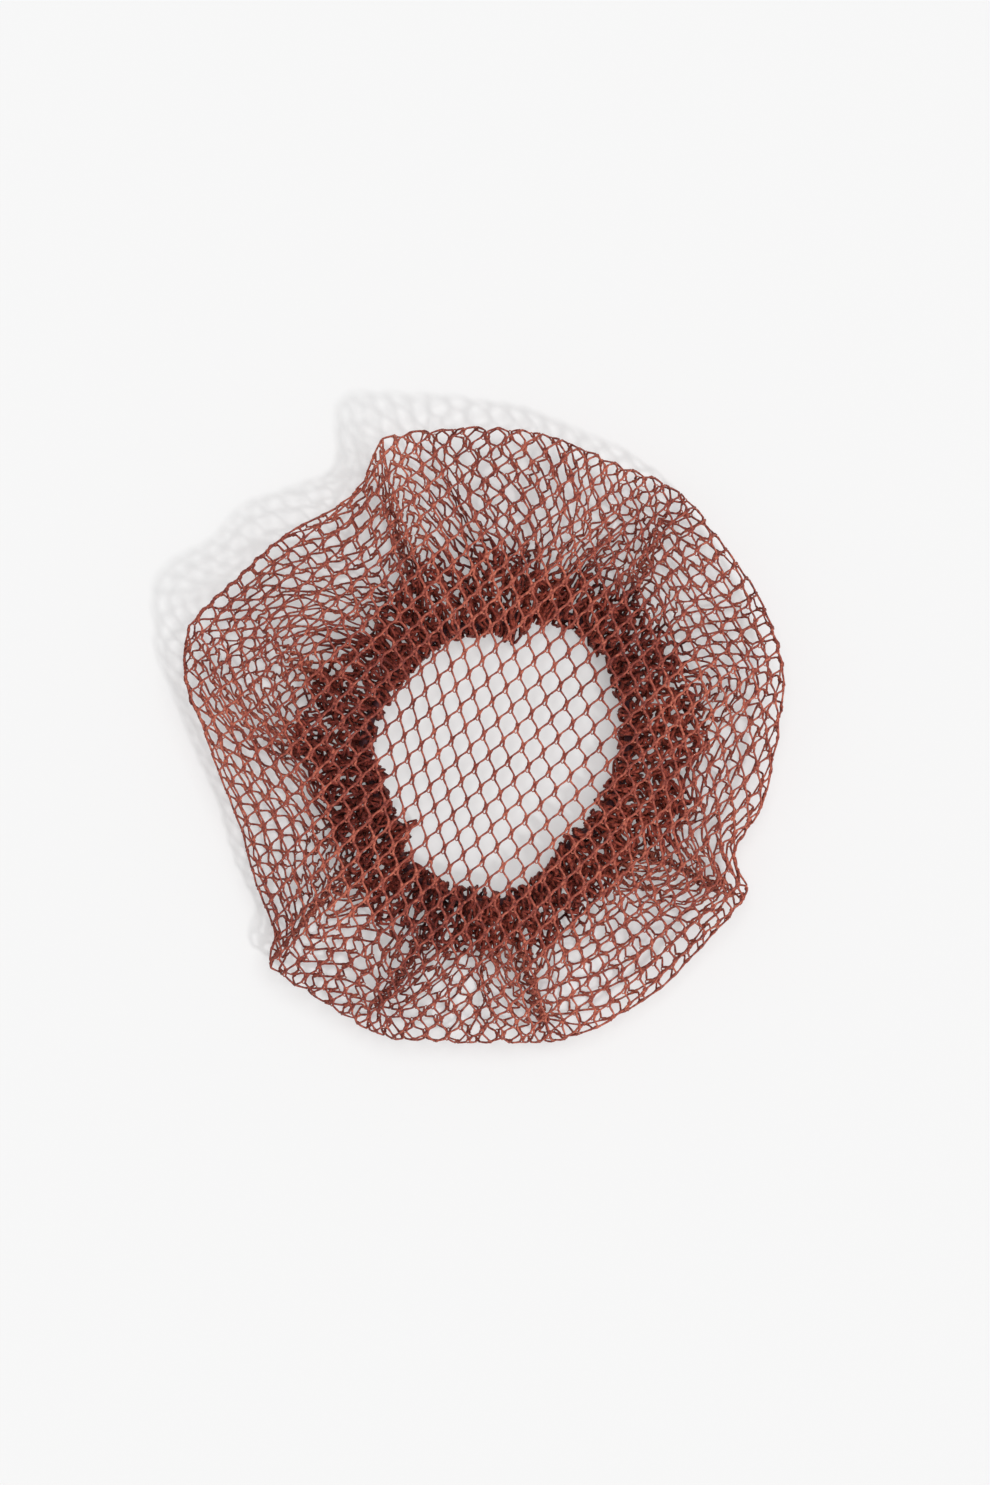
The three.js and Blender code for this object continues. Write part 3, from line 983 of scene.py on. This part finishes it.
def thread_material(name, dark, middle, light, sheen, deep):
    """Spun yarn: plies that wind round the thread, flecks of lighter fibre and a soft sheen.
    Painted shade: the lower the thread lies under a set height, the darker it is painted, by as much as deep,
    standing in for the shade that falls low among the threads."""
    nodes = Nodes(name)
    place = nodes.add("ShaderNodeTexCoord")
    plies = nodes.add("ShaderNodeMapping", Vector=place.outputs["UV"], Scale=(2.4, 2.0, 1.0))
    wind = nodes.add(
        "ShaderNodeTexWave", {"wave_type": "BANDS", "bands_direction": "DIAGONAL"},
        Vector=plies.outputs[0], Scale=1.0, Distortion=0.6, Detail=1.0,
    )
    patches = nodes.add("ShaderNodeTexNoise", Vector=place.outputs["Object"], Scale=45.0, Detail=2.0)
    fibres = nodes.add("ShaderNodeTexNoise", Vector=place.outputs["Object"], Scale=1400.0, Detail=2.0)
    tone = nodes.share(fibres.outputs[0], FIBRE_SHARE, 0.0)
    tone = nodes.share(patches.outputs[0], PATCH_SHARE, tone)
    tone = nodes.share(wind.outputs[1], PLY_SHARE, tone)
    axes = nodes.add("ShaderNodeSeparateXYZ", Vector=place.outputs["Object"])
    # Painted shade: the tone is lowered the nearer the thread lies to the floor, by as much as deep at the
    # lowest.
    painted_shade_tone = nodes.add(
        "ShaderNodeMapRange", Value=axes.outputs[2], From_Min=PAINTED_SHADE_FROM * 0.001, From_Max=PAINTED_SHADE_TO * 0.001,
        To_Min=-deep, To_Max=0.0,
    )
    tone = nodes.add("ShaderNodeMath", {"operation": "ADD"}, i0=tone, i1=painted_shade_tone.outputs[0])
    colour = nodes.ramp(tone.outputs[0], TONES, (dark, middle, light))
    bump = nodes.add("ShaderNodeBump", Strength=0.5, Distance=0.00006, Height=tone.outputs[0])
    rough = nodes.add("ShaderNodeMapRange", Value=fibres.outputs[0], To_Min=0.55, To_Max=0.85)
    shader = nodes.add(
        "ShaderNodeBsdfPrincipled", Base_Color=colour, Roughness=rough.outputs[0], Normal=bump.outputs[0],
        Specular_IOR_Level=0.35, Sheen_Weight=sheen, Sheen_Roughness=0.45, Sheen_Tint=(1.0, 0.78, 0.68, 1),
    )
    nodes.add("ShaderNodeOutputMaterial", Surface=shader.outputs[0])
    return nodes.material


def floor_material():
    """Pale paper, with a little light of its own so that it stays as pale as in the photograph."""
    nodes = Nodes("pale_floor")
    shader = nodes.add(
        "ShaderNodeBsdfPrincipled", Base_Color=(0.56, 0.56, 0.56, 1), Roughness=0.9,
        Emission_Color=(1.0, 1.0, 1.0, 1), Emission_Strength=0.285,
    )
    nodes.add("ShaderNodeOutputMaterial", Surface=shader.outputs[0])
    return nodes.material


def make_floor():
    mesh = bpy.data.meshes.new("floor")
    corners = [(x * FLOOR_HALF, y * FLOOR_HALF, 0) for x, y in [(-1, -1), (1, -1), (1, 1), (-1, 1)]]
    mesh.from_pydata(corners, [], [(0, 1, 2, 3)])
    floor = bpy.data.objects.new("floor", mesh)
    floor.data.materials.append(floor_material())
    bpy.context.scene.collection.objects.link(floor)


# Each lamp's strength, the angle that it fills, its tilt from straight above, and the side where it stands.
LAMPS = [
    ("softbox", 1.68, 50, 16, 50),
    ("window", 1.25, 6, 45, -46),
]


def make_light():
    """One broad soft lamp, a smaller one opposite, and a pale surround."""
    world = bpy.data.worlds.new("studio")
    world.use_nodes = True
    background = world.node_tree.nodes["Background"]
    background.inputs["Color"].default_value = (1.0, 1.0, 1.0, 1)
    background.inputs["Strength"].default_value = 0.35
    bpy.context.scene.world = world
    for name, energy, spread, tilt, stands in LAMPS:
        lamp = bpy.data.lights.new(name, "SUN")
        lamp.energy = energy
        lamp.angle = math.radians(spread)
        sun = bpy.data.objects.new(name, lamp)
        sun.rotation_euler = (math.radians(tilt), 0, math.radians(stands + 90))
        bpy.context.scene.collection.objects.link(sun)
    bpy.context.scene.view_settings.view_transform = "Standard"


def make_camera():
    """Straight above, as the photograph was taken."""
    camera = bpy.data.cameras.new("camera")
    camera.lens = CAMERA_LENS
    camera.sensor_width = 36.0
    camera.clip_end = 20.0
    view = bpy.data.objects.new("camera", camera)
    view.location = CAMERA_AT
    bpy.context.scene.collection.objects.link(view)
    bpy.context.scene.camera = view


# The net's pieces: their threads, the part of the net and the node that they stand for, the corners round a
# thread, and the yarn.
PIECES = [
    ("crown_left_threads", "fine_left", "crown", "crown_net", 5, "net_thread"),
    ("crown_right_threads", "fine_right", "crown", "crown_net", 5, "net_thread"),
    ("crown_lacing", "lacing", "crown", "crown_net", 5, "lacing"),
    ("side_left_threads", "fine_left", "side", "side_net", 4, "net_thread"),
    ("side_right_threads", "fine_right", "side", "side_net", 4, "net_thread"),
    ("side_lacing", "lacing", "side", "side_net", 4, "lacing"),
    ("hem_left_threads", "plain_left", "hem", "gathered_hem", 4, "hem_thread_painted_shade"),
    ("hem_right_threads", "plain_right", "hem", "gathered_hem", 4, "hem_thread_painted_shade"),
]


def settled_net(random):
    """The net as it lies: the ends of its walls, its outward direction there, the walls that the threads go
    on to, and what is known of each wall's place."""
    top, foot, left, right = cut_net()
    count = len(top)
    flat = np.concatenate([top, foot])
    walls = np.arange(count)
    edges = [
        (walls, walls + count),
        (walls[left >= 0] + count, left[left >= 0]),
        (walls[right >= 0] + count, right[right >= 0]),
    ]
    beside = neighbours(len(flat), edges)
    laid, facts = lay_net(flat, random)
    points = settle(laid, flat, facts, edges, beside)
    side = outer_sides(points, beside)
    rho = (facts["rho"][:count] + facts["rho"][count:]) / 2
    return {
        "top": points[:count],
        "foot": points[count:],
        "top_side": side[:count],
        "foot_side": side[count:],
        "left": left,
        "right": right,
        "rho": rho,
        "gathered": facts["gathered"][:count],
        "crown": rho < facts["crown_end"][:count],
    }


def thread_thickness(net):
    """The diameter of the threads at each wall."""
    thick = THREAD_STRETCHED + (THREAD_OVER - THREAD_STRETCHED) * fade(net["rho"], 0, THICKER)
    thick += (THREAD - THREAD_OVER) * fade(net["rho"], 0, THINNER)
    return thick + (THREAD_SLACK - THREAD) * net["gathered"]


def add_piece(piece, node, look):
    """Gives a piece its look and its place in the frame."""
    piece.data.materials.append(look)
    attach(piece, "root")
    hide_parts(node)


def make_cover():
    """The net's threads and lacing and the elastic, each as a piece of its own."""
    random = np.random.default_rng(SEED)
    net = settled_net(random)
    thick = thread_thickness(net)
    hem = (net["gathered"] > 0.5) & ~net["crown"]
    regions = {"crown": net["crown"], "hem": hem, "side": ~net["crown"] & ~hem}
    looks = {yarn[0]: thread_material(*yarn) for yarn in YARNS}
    runs = {"lacing": lacing_run(net)}
    for family in ("left", "right"):
        runs[f"fine_{family}"] = thread_run(net, family, FINE_WALL, FINE_STEPS)
        runs[f"plain_{family}"] = thread_run(net, family, PLAIN_WALL, PLAIN_STEPS)
    for name, run, region, node, corners, look in PIECES:
        piece = tube_mesh(name, runs[run], thick, regions[region], corners, random)
        add_piece(piece, node, looks[look])
    add_piece(elastic_piece(), "elastic_cord", looks["elastic"])


make_camera()
make_light()
make_floor()
make_cover()
